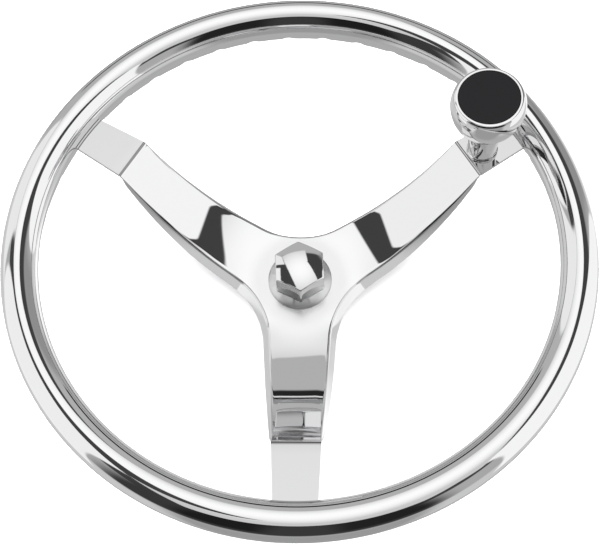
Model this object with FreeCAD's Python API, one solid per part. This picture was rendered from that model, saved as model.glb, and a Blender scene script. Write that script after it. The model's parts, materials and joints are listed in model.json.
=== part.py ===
"""Stainless boat steering wheel with three pressed spokes, a finger-grip rim and a turning knob.

Millimetres, +Z from the helm towards the driver. The origin is on the shaft's axis, in the
back face of the hub boss, which is the wheel's lowest face when it lies on its back.
The spokes point at 30, 150 and 270 degrees about +Z, and the knob stands on the one at 30.
"""
import FreeCAD, Part
import math
import os
from FreeCAD import Placement, Rotation, Vector

# Rim: a tube ring, round in front and drawn out behind into a ridge with finger grooves across it
rim_diameter = 343.0
rim_tube_diameter = 21.3
ridge_radius = 6.0
ridge_back = 10.3
ridge_inward = 1.5
grip_count = 42
grip_phase_deg = 7.4
grip_groove_radius = 5.5
grip_groove_depth = 2.3
grip_lean_deg = 25.0

# Dish: how far the hub's face lies behind the middle of the rim tube
dish_depth = 55.0

# Spokes: one pressed star with flanges turned down along its edges
spoke_angles_deg = (30.0, 150.0, 270.0)
sheet_thickness = 2.5
hub_flat_reach = 25.0
centre_plate_overlap = 3.0
spoke_root_overlap = 4.0
tab_length = 32.9
bend_height_below_rim = 5.7
end_slope_deg = 5.1
spoke_half_width_at_root = 18.3
spoke_root_reach = 44.0
spoke_half_width_at_bend = 13.6
spoke_half_width_at_rim = 12.0
web_radius = 57.0
flange_depth_at_hub = 7.4
flange_depth_at_bend = 2.0
flange_stop_before_bend = 2.0
flange_flare_deg = 25.0
flange_start_depth = 0.8
flange_inset = 0.35
weld_gap = 0.15

# Hub boss: turned, with a tapered bore for a 3/4 inch shaft and a 3/16 inch keyway
boss_radius = 19.0
boss_length = 30.0
boss_spigot_radius = 13.0
boss_edge = 1.5
taper_large_diameter = 19.05
taper_ratio = 12.0
keyway_width = 4.76
keyway_depth = 2.4
seat_clearance = 0.05

# Shaft nut: a domed hexagon nut with a flange, threaded 5/8 inch
nut_across_flats = 29.4
nut_turn_deg = 3.2
nut_flange_radius = 19.8
nut_flange_edge = 1.8
nut_flange_slope_height = 2.4
nut_corner_height = 20.2
nut_crown_rise = 3.8
nut_thread_minor_radius = 7.15
nut_thread_length = 18.5
nut_thread_mouth = 1.2

# Knob: where it stands on its spoke, and its own turned shape
post_clear_of_bend = 1.3
post_height = 31.0
post_foot_radius = 9.3
post_foot_height = 2.2
post_foot_edge = 0.6
post_waist_radius = 8.5
post_waist_length = 1.5
post_top_radius = 10.6
post_top_edge = 0.8
post_top_edge_height = 1.0
knob_height = 59.5
knob_edge_radius = 12.2
knob_bottom_edge = 0.8
knob_belly_radius = 21.3
knob_belly_below_top = 8.0
knob_lip_radius = 18.2
knob_lip_rounding = 1.4
insert_radius = 17.2
insert_thickness = 3.4
insert_edge = 0.4
insert_clearance = 0.1
insert_clip_wall = 1.6
insert_clip_length = 2.5
knob_cavity_radius = 13.0

# Knob bearing: a shoulder bolt, two flanged bushes and washers
shoulder_radius = 5.0
stud_radius = 4.0
stud_hole_radius = 4.2
running_clearance = 0.05
axial_clearance = 0.1
press_clearance = 0.02
bush_outer_radius = 7.0
bush_flange_radius = 9.4
bush_flange_thickness = 1.2
gap_between_bushes = 1.4
thrust_washer_thickness = 1.0
head_washer_thickness = 1.0
head_washer_overhang = 1.0
head_radius = 8.0
head_height = 3.6
head_edge = 0.6
room_over_head = 1.9
head_socket_across_flats = 5.0
head_socket_depth = 2.2

# Fixing behind the spoke: washer and locking nut with its nylon ring
back_washer_radius = 8.5
back_washer_thickness = 1.6
lock_nut_across_flats = 13.0
lock_nut_height = 5.4
lock_collar_height = 2.6
lock_collar_radius = 6.1
lock_ring_outer_radius = 5.3
lock_ring_thickness = 1.8
lock_ring_seat = 0.4
lock_ring_lip = 0.6
stud_end = 1.5
stud_edge = 0.6

# Heights and radii that follow
hub_face = boss_length
rim_height = hub_face + dish_depth
tube_radius = rim_tube_diameter / 2
rim_radius = rim_diameter / 2 - tube_radius
bend_reach = rim_radius - tube_radius - tab_length
flange_reach = bend_reach - flange_stop_before_bend
knob_reach = bend_reach + post_clear_of_bend + post_foot_radius
bend_rise = dish_depth - bend_height_below_rim
bend_run = bend_reach - hub_flat_reach
dish_radius = (bend_rise ** 2 + bend_run ** 2) / (2 * bend_rise)
bend_slope = math.asin(bend_run / dish_radius)
end_slope = math.radians(end_slope_deg)
knob_azimuth = math.radians(spoke_angles_deg[0])
UP = Vector(0, 0, 1)


def polar(radius, angle, height=0.0):
    return Vector(radius * math.cos(angle), radius * math.sin(angle), height)


def turned(points):
    """A solid of revolution about Z. A point (r, h) is a corner, and (r, h, r2, h2) is an arc through it."""
    edges = []
    here = points[0]
    for point in points[1:] + points[:1]:
        start = Vector(here[-2], 0, here[-1])
        end = Vector(point[-2], 0, point[-1])
        if len(point) == 4:
            edges.append(Part.Arc(start, Vector(point[0], 0, point[1]), end).toShape())
        elif (end - start).Length > 1e-6:
            edges.append(Part.LineSegment(start, end).toShape())
        here = point
    face = Part.Face(Part.Wire(edges))
    return face.revolve(Vector(0, 0, 0), UP, 360)


def hexagon(across_flats, bottom, height, turn_deg=0.0):
    corner = across_flats / 2 / math.cos(math.pi / 6)
    corners = [polar(corner, math.radians(60 * k + turn_deg), bottom) for k in range(7)]
    return Part.Face(Part.makePolygon(corners)).extrude(UP * height)


def save(name, shape):
    assert shape.isValid(), name
    shape.exportStep(os.path.join("parts", name + ".step"))
    print(name, "solids", len(shape.Solids), "volume", round(shape.Volume, 1))


# Rim

def ridge_tangents():
    """Section angles at which the tube's round front runs over into the ridge's straight sides."""
    distance = math.hypot(ridge_inward, ridge_back)
    towards = math.atan2(-ridge_back, -ridge_inward) + 2 * math.pi
    apart = math.acos((tube_radius - ridge_radius) / distance)
    return towards - apart, towards + apart


def rim_ring(grown=0.0):
    """The rim without its grooves, grown all round by a gap where a seat for it is wanted."""
    middle = Vector(rim_radius, 0, rim_height)
    ridge = middle - Vector(ridge_inward, 0, ridge_back)
    inner, outer = ridge_tangents()
    front_start = outer - 2 * math.pi

    def spot(centre, radius, angle):
        return centre + Vector(math.cos(angle), 0, math.sin(angle)) * (radius + grown)

    def arc(centre, radius, first, last):
        ends = [spot(centre, radius, angle) for angle in (first, (first + last) / 2, last)]
        return Part.Arc(*ends).toShape()

    half_way = (front_start + inner) / 2
    section = [
        arc(middle, tube_radius, front_start, half_way),
        arc(middle, tube_radius, half_way, inner),
        Part.makeLine(spot(middle, tube_radius, inner), spot(ridge, ridge_radius, inner)),
        arc(ridge, ridge_radius, inner, outer),
        Part.makeLine(spot(ridge, ridge_radius, outer), spot(middle, tube_radius, front_start)),
    ]
    return Part.Face(Part.Wire(section)).revolve(Vector(0, 0, 0), UP, 360)


def grip_cutter(angle):
    """A round bar laid across the ridge, leaning in, where one finger groove is pressed."""
    lean = math.radians(grip_lean_deg)
    inward = polar(-1, angle)
    out_of_ridge = inward * math.sin(lean) - UP * math.cos(lean)
    along_bar = inward * math.cos(lean) + UP * math.sin(lean)
    middle = polar(rim_radius - ridge_inward, angle, rim_height - ridge_back)
    middle += out_of_ridge * (ridge_radius - grip_groove_depth + grip_groove_radius)
    start = middle - along_bar * 2 * ridge_radius
    return Part.makeCylinder(grip_groove_radius, 4 * ridge_radius, start, along_bar)


def make_rim():
    pitch = 2 * math.pi / grip_count
    cutters = [grip_cutter(math.radians(grip_phase_deg) + k * pitch) for k in range(grip_count)]
    return rim_ring().cut(Part.makeCompound(cutters))


# Spokes

def spoke_height(reach):
    """Height of the spokes' front face at a distance along a spoke."""
    if reach <= hub_flat_reach:
        return hub_face
    if reach <= bend_reach:
        run = reach - hub_flat_reach
        return hub_face + dish_radius - math.sqrt(dish_radius ** 2 - run ** 2)
    return spoke_height(bend_reach) + (reach - bend_reach) * math.tan(end_slope)


def spoke_slope(reach):
    return math.asin(max(reach - hub_flat_reach, 0.0) / dish_radius)


def web_geometry():
    """Lean of a spoke's straight edge, its tangent point with the web's arc, and that arc's centre."""
    narrowing = spoke_half_width_at_root - spoke_half_width_at_bend
    lean = math.atan(narrowing / (bend_reach - spoke_root_reach))
    outward = Vector(math.sin(lean), math.cos(lean), 0)
    edge_distance = bend_reach * math.sin(lean) + spoke_half_width_at_bend * math.cos(lean)
    between = math.pi / len(spoke_angles_deg)
    centre = polar((edge_distance + web_radius) / math.sin(between + lean), between)
    return outward, centre - outward * web_radius, centre, between


def turn_to(vector, angle_deg):
    return Rotation(UP, angle_deg).multVec(vector)


def star_outline(end_reach):
    """Plan of the pressed star: three tapered spokes joined by large round webs."""
    outward, tangent, centre, between = web_geometry()
    web_middle = polar(centre.Length - web_radius, between)
    step = 360.0 / len(spoke_angles_deg)
    slant = (spoke_half_width_at_bend - spoke_half_width_at_rim) / (rim_radius - tube_radius - bend_reach)
    end_half_width = spoke_half_width_at_bend - slant * (end_reach - bend_reach)
    edges = []
    for angle in spoke_angles_deg:
        def place(point, mirrored=False):
            flipped = Vector(point.x, -point.y if mirrored else point.y, point.z)
            return turn_to(flipped, angle)
        end_corner = Vector(end_reach, end_half_width, 0)
        bend_corner = Vector(bend_reach, spoke_half_width_at_bend, 0)
        edges.append(Part.makeLine(place(end_corner, True), place(end_corner)))
        edges.append(Part.makeLine(place(end_corner), place(bend_corner)))
        edges.append(Part.makeLine(place(bend_corner), place(tangent)))
        next_tangent = turn_to(Vector(tangent.x, -tangent.y, 0), angle + step)
        edges.append(Part.Arc(place(tangent), place(web_middle), next_tangent).toShape())
        next_bend = turn_to(Vector(bend_corner.x, -bend_corner.y, 0), angle + step)
        next_end = turn_to(Vector(end_corner.x, -end_corner.y, 0), angle + step)
        edges.append(Part.makeLine(next_tangent, next_bend))
        edges.append(Part.makeLine(next_bend, next_end))
    return Part.Face(Part.Wire(Part.__sortEdges__(edges)))


def spoke_sheet(end_reach):
    """The sheet of one spoke: flat at the hub, hollow curve, sharp bend and flat end."""
    t = sheet_thickness
    inner_reach = hub_flat_reach - spoke_root_overlap
    mid_run = bend_run / 2
    mid_drop = math.sqrt(dish_radius ** 2 - mid_run ** 2)
    under_radius = dish_radius + t
    under_mid = math.sqrt(under_radius ** 2 - mid_run ** 2)
    centre_height = hub_face + dish_radius
    bend_top = spoke_height(bend_reach)
    # the underside's bend lies where the offset curve meets the offset flat end
    end_normal = (-math.sin(end_slope), math.cos(end_slope))
    low = (bend_reach - end_normal[0] * t, bend_top - end_normal[1] * t)
    bend_under = meet_under_curve(low, under_radius, centre_height)
    top_end = spoke_height(end_reach)
    front = [
        Part.makeLine(Vector(inner_reach, 0, hub_face), Vector(hub_flat_reach, 0, hub_face)),
        Part.Arc(
            Vector(hub_flat_reach, 0, hub_face),
            Vector(hub_flat_reach + mid_run, 0, centre_height - mid_drop),
            Vector(bend_reach, 0, bend_top),
        ).toShape(),
        Part.makeLine(Vector(bend_reach, 0, bend_top), Vector(end_reach, 0, top_end)),
    ]
    end_under = Vector(end_reach - end_normal[0] * t, 0, top_end - end_normal[1] * t)
    under = [
        Part.makeLine(Vector(end_reach, 0, top_end), end_under),
        Part.makeLine(end_under, bend_under),
        Part.Arc(
            bend_under,
            Vector(hub_flat_reach + mid_run, 0, centre_height - under_mid),
            Vector(hub_flat_reach, 0, hub_face - t),
        ).toShape(),
        Part.makeLine(Vector(hub_flat_reach, 0, hub_face - t), Vector(inner_reach, 0, hub_face - t)),
        Part.makeLine(Vector(inner_reach, 0, hub_face - t), Vector(inner_reach, 0, hub_face)),
    ]
    half_breadth = web_radius / 2
    face = Part.Face(Part.Wire(front + under))
    face.translate(Vector(0, -half_breadth, 0))
    return face.extrude(Vector(0, 2 * half_breadth, 0))


def meet_under_curve(point, radius, centre_height):
    """Where the flat end's underside, through point at the end's slope, meets the curve's underside."""
    dx, dz = math.cos(end_slope), math.sin(end_slope)
    ox, oz = point[0] - hub_flat_reach, point[1] - centre_height
    half_b = ox * dx + oz * dz
    root = math.sqrt(half_b ** 2 - (ox ** 2 + oz ** 2 - radius ** 2))
    along = -half_b + root
    return Vector(point[0] + along * dx, 0, point[1] + along * dz)


def flange_section(reach, edge, outward, depth):
    """One section of a turned-down flange, hung from the star's edge and flared outwards."""
    slope = spoke_slope(reach)
    normal = Vector(-math.sin(slope), 0, math.cos(slope))
    flare = math.radians(flange_flare_deg)
    down = outward * math.sin(flare) - normal * math.cos(flare)
    top = Vector(edge.x, edge.y, spoke_height(reach)) - normal * flange_start_depth - outward * flange_inset
    foot = top + down * (depth / math.cos(flare))
    inner = outward * sheet_thickness
    return Part.makePolygon([top, foot, foot - inner, top - inner, top])


def half_flange_stations():
    """Stations along one spoke's edge, from just inside the bend to the middle of the web."""
    outward, tangent, centre, between = web_geometry()
    narrowing = outward.x / outward.y
    line_steps = 8
    arc_steps = 4
    stations = []
    for k in range(line_steps):
        share = k / line_steps
        reach = flange_reach + (tangent.x - flange_reach) * share
        stations.append((Vector(reach, tangent.y - (reach - tangent.x) * narrowing, 0), outward, share))
    first = math.atan2(-outward.y, -outward.x)
    last = between - math.pi
    for k in range(arc_steps + 1):
        angle = first + (last - first) * k / arc_steps
        stations.append((centre + polar(web_radius, angle), polar(-1, angle), 1.0))
    return stations


def make_flange(angle):
    """The flange along one web and the two spoke edges that it joins, as one smooth lofted strip."""
    step = 360.0 / len(spoke_angles_deg)
    sections = []
    mirrored = []
    for spot, outward, share in half_flange_stations():
        deepening = math.sin(share * math.pi / 2)
        depth = flange_depth_at_bend + (flange_depth_at_hub - flange_depth_at_bend) * deepening
        section = flange_section(spot.x, spot, outward, depth)
        sections.append(section.copy())
        other = flange_section(spot.x, Vector(spot.x, -spot.y, 0), Vector(outward.x, -outward.y, 0), depth)
        other.rotate(Vector(0, 0, 0), UP, step)
        mirrored.append(other)
    strip = Part.makeLoft(sections + mirrored[-2::-1], True, False)
    strip.rotate(Vector(0, 0, 0), UP, angle)
    return strip


def knob_placement():
    """From the knob's own frame, whose +Z is square to the spoke's end, to the wheel's frame."""
    foot = polar(knob_reach, knob_azimuth, spoke_height(knob_reach))
    tilt = Rotation(Vector(0, 1, 0), -end_slope_deg)
    turn = Rotation(UP, spoke_angles_deg[0])
    return Placement(foot, turn.multiply(tilt))


def make_spider():
    end_reach = rim_radius - tube_radius / 2
    outline = star_outline(end_reach)
    prism = outline.extrude(UP * (rim_height + tube_radius))
    centre_reach = hub_flat_reach - centre_plate_overlap
    corners = [polar(2 * centre_reach, math.radians(angle + 60), hub_face) for angle in spoke_angles_deg]
    plate = Part.Face(Part.makePolygon(corners + corners[:1])).extrude(UP * -sheet_thickness)
    star = plate.common(prism)
    for angle in spoke_angles_deg:
        spoke = spoke_sheet(end_reach)
        spoke.rotate(Vector(0, 0, 0), UP, angle)
        star = star.fuse(spoke.common(prism))
    for angle in spoke_angles_deg:
        star = star.fuse(make_flange(angle))
    below = Vector(0, 0, -boss_length)
    hole = Part.makeCylinder(boss_spigot_radius + seat_clearance, 3 * boss_length, below)
    stud_hole = Part.makeCylinder(stud_hole_radius, 8 * sheet_thickness, Vector(0, 0, -4 * sheet_thickness))
    stud_hole.Placement = knob_placement().multiply(stud_hole.Placement)
    return star.cut(Part.makeCompound([hole, stud_hole])).cut(rim_ring(weld_gap)).removeSplitter()


# Hub

def make_boss():
    shoulder = hub_face - sheet_thickness
    body = turned([
        (0, 0), (boss_radius - boss_edge, 0), (boss_radius, boss_edge), (boss_radius, shoulder),
        (boss_spigot_radius, shoulder), (boss_spigot_radius, hub_face), (0, hub_face),
    ])
    large = taper_large_diameter / 2
    small = large - boss_length / taper_ratio / 2
    bore = Part.makeCone(large, small, boss_length, Vector(0, 0, 0), UP)
    keyway = Part.makeBox(keyway_width, large + keyway_depth, boss_length)
    keyway.translate(Vector(-keyway_width / 2, 0, 0))
    return body.cut(bore.fuse(keyway)).removeSplitter()


def make_shaft_nut():
    corner = nut_across_flats / 2 / math.cos(math.pi / 6)
    crown_top = nut_corner_height + nut_crown_rise
    crown_radius = (corner ** 2 + nut_crown_rise ** 2) / (2 * nut_crown_rise)
    half = corner / 2
    half_height = crown_top - crown_radius + math.sqrt(crown_radius ** 2 - half ** 2)
    dome = turned([(0, 0), (corner, 0), (corner, nut_corner_height), (half, half_height, 0, crown_top)])
    hexagon_body = hexagon(nut_across_flats, 0, 2 * crown_top, 30.0 + nut_turn_deg).common(dome)
    slope_top = nut_flange_edge + nut_flange_slope_height
    flat_radius = nut_across_flats / 2
    edge = nut_flange_edge / 3
    flange = turned([
        (0, 0), (nut_flange_radius - edge, 0), (nut_flange_radius, edge),
        (nut_flange_radius, nut_flange_edge), (flat_radius, slope_top), (0, slope_top),
    ])
    thread = Part.makeCylinder(nut_thread_minor_radius, nut_thread_length)
    thread_end = Vector(0, 0, nut_thread_length)
    tip = Part.makeCone(nut_thread_minor_radius, 0, nut_thread_minor_radius / 2, thread_end, UP)
    mouth_radius = nut_thread_minor_radius + nut_thread_mouth
    mouth = Part.makeCone(mouth_radius, nut_thread_minor_radius, nut_thread_mouth)
    nut = hexagon_body.fuse(flange).cut(thread.fuse(tip).fuse(mouth)).removeSplitter()
    nut.translate(Vector(0, 0, hub_face))
    return nut


# Knob, in its own frame: height 0 is the spoke's front face

washer_top = post_height + thrust_washer_thickness
knob_bottom = washer_top + axial_clearance
bearing_bottom = knob_bottom + bush_flange_thickness
insert_bottom = knob_height - insert_thickness
head_top = insert_bottom - room_over_head
head_bottom = head_top - head_height
head_washer_bottom = head_bottom - head_washer_thickness
flange_top = head_washer_bottom - axial_clearance
bearing_top = flange_top - bush_flange_thickness
bush_length = (flange_top - knob_bottom - gap_between_bushes) / 2


def make_post():
    cone_start = post_foot_height + post_waist_length
    return turned([
        (stud_hole_radius, 0), (post_foot_radius, 0), (post_foot_radius, post_foot_height - post_foot_edge),
        (post_foot_radius - post_foot_edge, post_foot_height), (post_waist_radius, post_foot_height),
        (post_waist_radius, cone_start), (post_top_radius, post_height - post_top_edge_height),
        (post_top_radius - post_top_edge, post_height), (stud_hole_radius, post_height),
    ])


def lip_and_wall():
    """The wall arc from the belly up to the lip's rounding, with the rounding itself, as turned points."""
    centre_height = knob_height - knob_lip_rounding
    belly_height = knob_height - knob_belly_below_top
    inset = knob_belly_radius - knob_lip_radius
    rise = centre_height - belly_height
    wall = (inset ** 2 + rise ** 2 - knob_lip_rounding ** 2) / (2 * (inset - knob_lip_rounding))
    lean = math.atan2(rise, wall - inset)

    def on_wall(angle):
        return (knob_belly_radius - wall * (1 - math.cos(angle)), belly_height + wall * math.sin(angle))

    half = (lean + math.pi / 2) / 2
    rounding = (knob_lip_radius + knob_lip_rounding * math.cos(half),
                centre_height + knob_lip_rounding * math.sin(half))
    return [on_wall(lean / 2) + on_wall(lean), rounding + (knob_lip_radius, knob_height)]


def make_knob_body():
    bore = bush_outer_radius + press_clearance
    recess = bush_flange_radius + press_clearance
    insert_seat = insert_radius + insert_clearance
    belly_height = knob_height - knob_belly_below_top
    run = knob_belly_radius - knob_edge_radius
    rise = belly_height - knob_bottom - knob_bottom_edge
    belly = (run ** 2 + rise ** 2) / (2 * run)
    turn = math.asin(rise / belly) / 2
    belly_mid = (knob_belly_radius - belly * (1 - math.cos(turn)), belly_height - belly * math.sin(turn))
    return turned([
        (recess, knob_bottom), (knob_edge_radius - knob_bottom_edge, knob_bottom),
        (knob_edge_radius, knob_bottom + knob_bottom_edge), belly_mid + (knob_belly_radius, belly_height),
        *lip_and_wall(), (insert_seat, knob_height), (insert_seat, insert_bottom),
        (knob_cavity_radius, insert_bottom), (knob_cavity_radius, bearing_top), (bore, bearing_top),
        (bore, bearing_bottom), (recess, bearing_bottom),
    ])


def make_insert():
    clip_outside = knob_cavity_radius - insert_clearance
    clip_inside = clip_outside - insert_clip_wall
    clip_bottom = insert_bottom - insert_clip_length
    return turned([
        (0, insert_bottom), (clip_inside, insert_bottom), (clip_inside, clip_bottom),
        (clip_outside, clip_bottom), (clip_outside, insert_bottom), (insert_radius, insert_bottom),
        (insert_radius, knob_height - insert_edge), (insert_radius - insert_edge, knob_height),
        (0, knob_height),
    ])


def make_bush(flange_at_bottom):
    inner = shoulder_radius + running_clearance
    bush = turned([
        (inner, 0), (bush_flange_radius, 0), (bush_flange_radius, bush_flange_thickness),
        (bush_outer_radius, bush_flange_thickness), (bush_outer_radius, bush_length), (inner, bush_length),
    ])
    if flange_at_bottom:
        bush.translate(Vector(0, 0, knob_bottom))
        return bush
    bush.rotate(Vector(0, 0, 0), Vector(1, 0, 0), 180)
    bush.translate(Vector(0, 0, flange_top))
    return bush


def make_washer(inner, outer, bottom, thickness):
    top = bottom + thickness
    return turned([(inner, bottom), (outer, bottom), (outer, top), (inner, top)])


def make_spindle():
    fixing = back_washer_thickness + lock_nut_height + lock_collar_height
    stud_length = sheet_thickness + fixing + stud_end
    body = turned([
        (0, -stud_length), (stud_radius - stud_edge, -stud_length), (stud_radius, stud_edge - stud_length),
        (stud_radius, post_height), (shoulder_radius, post_height), (shoulder_radius, head_bottom),
        (head_radius, head_bottom), (head_radius, head_top - head_edge),
        (head_radius - head_edge, head_top), (0, head_top),
    ])
    return body.cut(hexagon(head_socket_across_flats, head_top - head_socket_depth, head_height))


def make_lock_nut():
    top = -sheet_thickness - back_washer_thickness
    collar_top = top - lock_nut_height
    hexagon_body = hexagon(lock_nut_across_flats, collar_top, lock_nut_height)
    collar = Part.makeCylinder(lock_collar_radius, lock_collar_height, Vector(0, 0, collar_top), -UP)
    ring_top = Vector(0, 0, collar_top - lock_ring_seat)
    recess = Part.makeCylinder(lock_ring_outer_radius, lock_ring_thickness, ring_top, -UP)
    mouth_length = lock_collar_height - lock_ring_thickness - lock_ring_seat
    mouth_bottom = Vector(0, 0, collar_top - lock_collar_height)
    mouth = Part.makeCylinder(lock_ring_outer_radius - lock_ring_lip, mouth_length, mouth_bottom, UP)
    bore_top = Vector(0, 0, top + lock_nut_height)
    bore = Part.makeCylinder(stud_radius + running_clearance, 3 * lock_nut_height, bore_top, -UP)
    return hexagon_body.fuse(collar).cut(bore.fuse(recess).fuse(mouth)).removeSplitter()


def make_lock_ring():
    top = -sheet_thickness - back_washer_thickness - lock_nut_height - lock_ring_seat
    return make_washer(stud_radius + running_clearance, lock_ring_outer_radius - press_clearance,
                       top - lock_ring_thickness + press_clearance, lock_ring_thickness - 2 * press_clearance)


def knob_parts():
    return {
        "knob_post": make_post(),
        "knob_body": make_knob_body(),
        "knob_insert": make_insert(),
        "knob_lower_bush": make_bush(True),
        "knob_upper_bush": make_bush(False),
        "knob_thrust_washer": make_washer(
            shoulder_radius + running_clearance, bush_flange_radius, post_height, thrust_washer_thickness),
        "knob_head_washer": make_washer(
            shoulder_radius + running_clearance, head_radius + head_washer_overhang,
            head_washer_bottom, head_washer_thickness),
        "knob_spindle": make_spindle(),
        "knob_back_washer": make_washer(
            stud_hole_radius, back_washer_radius,
            -sheet_thickness - back_washer_thickness, back_washer_thickness),
        "knob_lock_nut": make_lock_nut(),
        "knob_lock_ring": make_lock_ring(),
    }


def main():
    os.makedirs("parts", exist_ok=True)
    save("rim", make_rim())
    save("spoke_spider", make_spider())
    save("hub_boss", make_boss())
    save("shaft_nut", make_shaft_nut())
    place = knob_placement()
    for name, shape in knob_parts().items():
        shape.Placement = place.multiply(shape.Placement)
        save(name, shape)


main()
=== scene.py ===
"""Stainless boat steering wheel on a pale studio floor.

Metres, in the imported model's frame: +Z along the shaft towards the driver, and the origin on the
shaft's axis in the back face of the hub boss. The rim, the pressed spokes and the turned pieces
are remade here with fine, smooth surfaces, because polished steel shows every facet.
"""

import json
import math

import bmesh
import bpy
from mathutils import Matrix, Vector


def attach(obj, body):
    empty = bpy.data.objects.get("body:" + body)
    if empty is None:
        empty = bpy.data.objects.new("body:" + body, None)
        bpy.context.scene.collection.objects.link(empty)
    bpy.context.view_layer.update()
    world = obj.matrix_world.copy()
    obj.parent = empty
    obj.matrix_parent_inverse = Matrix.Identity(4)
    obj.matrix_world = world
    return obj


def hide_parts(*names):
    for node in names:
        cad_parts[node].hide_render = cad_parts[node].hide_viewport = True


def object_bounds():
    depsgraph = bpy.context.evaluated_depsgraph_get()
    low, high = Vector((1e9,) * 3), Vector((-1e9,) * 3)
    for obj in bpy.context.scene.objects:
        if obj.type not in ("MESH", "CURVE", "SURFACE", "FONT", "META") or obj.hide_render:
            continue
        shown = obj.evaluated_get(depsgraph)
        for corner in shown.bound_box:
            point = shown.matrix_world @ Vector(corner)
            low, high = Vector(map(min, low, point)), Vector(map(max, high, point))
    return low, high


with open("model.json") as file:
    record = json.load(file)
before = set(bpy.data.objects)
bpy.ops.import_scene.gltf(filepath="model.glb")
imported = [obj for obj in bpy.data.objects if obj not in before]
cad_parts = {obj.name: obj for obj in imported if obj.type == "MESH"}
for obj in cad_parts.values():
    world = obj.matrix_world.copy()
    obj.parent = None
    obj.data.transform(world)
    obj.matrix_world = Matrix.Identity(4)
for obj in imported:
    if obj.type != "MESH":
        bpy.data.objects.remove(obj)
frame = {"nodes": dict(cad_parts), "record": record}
cad_low, cad_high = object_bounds()

MM = 0.001
SCENE = bpy.context.scene

# Rim
RIM_RADIUS = 0.16085
TUBE_RADIUS = 0.01064
RIM_HEIGHT = 0.085
RIDGE_RADIUS = 0.0060
RIDGE_BACK = 0.0103
RIDGE_INWARD = 0.0015
GRIP_COUNT = 42
GRIP_PHASE = math.radians(7.4)
GRIP_RADIUS = 0.0055
GRIP_DEPTH = 0.0023
GRIP_LEAN = math.radians(25.0)
GRIP_SOFTNESS = 0.0009
GRIP_WIDTH_SHARE = 0.999
STEPS_PER_GRIP = 20
FRONT_STEPS = 46
RIDGE_STEPS = 22
SIDE_SHARES = (0.25, 0.5, 0.75)

# Pressed spokes
SPOKE_ANGLES = [math.radians(a) for a in (30.0, 150.0, 270.0)]
HALF_SPACING = math.pi / 3
HUB_FACE = 0.030
SHEET = 0.0025
HUB_HOLE_RADIUS = 0.01305
HUB_FLAT_REACH = 0.025
BEND_REACH = 0.1173
BEND_RISE = 0.0493
BEND_SOFTNESS = 0.0012
END_SLOPE = math.radians(5.1)
ROOT_REACH = 0.044
ROOT_HALF_WIDTH = 0.0183
BEND_HALF_WIDTH = 0.0136
END_HALF_WIDTH = 0.0120
END_TUBE_SHARE = 0.9
WEB_RADIUS = 0.057
SHEET_EDGE_SOFTNESS = 0.0004
DISH_RADIUS = (BEND_RISE ** 2 + (BEND_REACH - HUB_FLAT_REACH) ** 2) / (2 * BEND_RISE)

# The edge folded back along each spoke
FLANGE_DEPTH_AT_HUB = 0.0082
FLANGE_DEPTH_AT_BEND = 0.0012
FLANGE_END_SHARE = 0.06
FLANGE_FLARE = math.radians(25.0)
FOLD_RADIUS = 0.0022
FULL_FOLD_DEPTH = 0.004
FOLD_STEPS = 6

# The faint hollow across each spoke, and the roll just before its folded edge
HOLLOW_TILT = math.radians(4.0) / 0.014
HOLLOW_FADE_WIDTH = 0.035
HOLLOW_GROWS = (0.026, 0.045)
HOLLOW_ENDS = (0.104, BEND_REACH - 0.002)
ROLL_WIDTH = 0.005
ROLL_TILT = math.radians(7.0) / ROLL_WIDTH
ROLL_GROWS = (0.050, 0.065)
ROLL_ENDS = (0.080, BEND_REACH - 0.002)

# Mesh lines along and across a spoke
RAY_STATIONS = 8
WEB_STATIONS = 16
ARM_STATIONS = 40
END_STATIONS = 6
BEND_STATIONS = (-1.5, -0.75, 0.0, 0.75, 1.5)
BEND_WEIGHTS = (1, 2, 3, 2, 1)
ACROSS = 24
EDGE_CROWDING = 0.6

# Hub boss: its profile, as (radius, height) in millimetres
BOSS_PROFILE = [(9.525, 0), (17.5, 0), (18.9, 1.4), (19.0, 1.7), (19.0, 27.45), (13.0, 27.45),
                (13.0, 30.0), (8.3, 30.0)]
BOSS_EDGE_SOFTNESS = 0.0002

# Shaft nut, measured up from the hub's face
NUT_ACROSS_FLATS = 0.0294
NUT_CORNER_RADIUS = NUT_ACROSS_FLATS / 2 / math.cos(math.pi / 6)
NUT_CORNER_SHARPNESS = 140.0
NUT_TURN = math.radians(3.2)
NUT_CORNER_HEIGHT = 0.0202
NUT_CROWN_RISE = 0.0032
NUT_CROWN_SHARES = [0.0, 0.12, 0.25, 0.38, 0.5, 0.62, 0.73, 0.82, 0.9, 0.95, 0.98]
NUT_EDGE_SOFTNESS = 0.0001
NUT_WALL_DROPS = [0.0005, 0.0010, 0.0021, 0.0061, 0.0101, 0.0131]
NUT_FLANGE_TOP = 0.0043
NUT_FOOT_ROUND = 0.0003
NUT_FOOT_HEIGHT = 0.0041
NUT_FLANGE_PROFILE = [(15.6, 3.95), (18.9, 2.25), (19.5, 1.8), (19.8, 1.3), (19.7, 0.5), (19.3, 0.0),
                      (8.35, 0.0), (7.15, 1.2), (7.15, 18.5), (0.0, 22.0)]
NUT_STEPS_ROUND = 180

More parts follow.
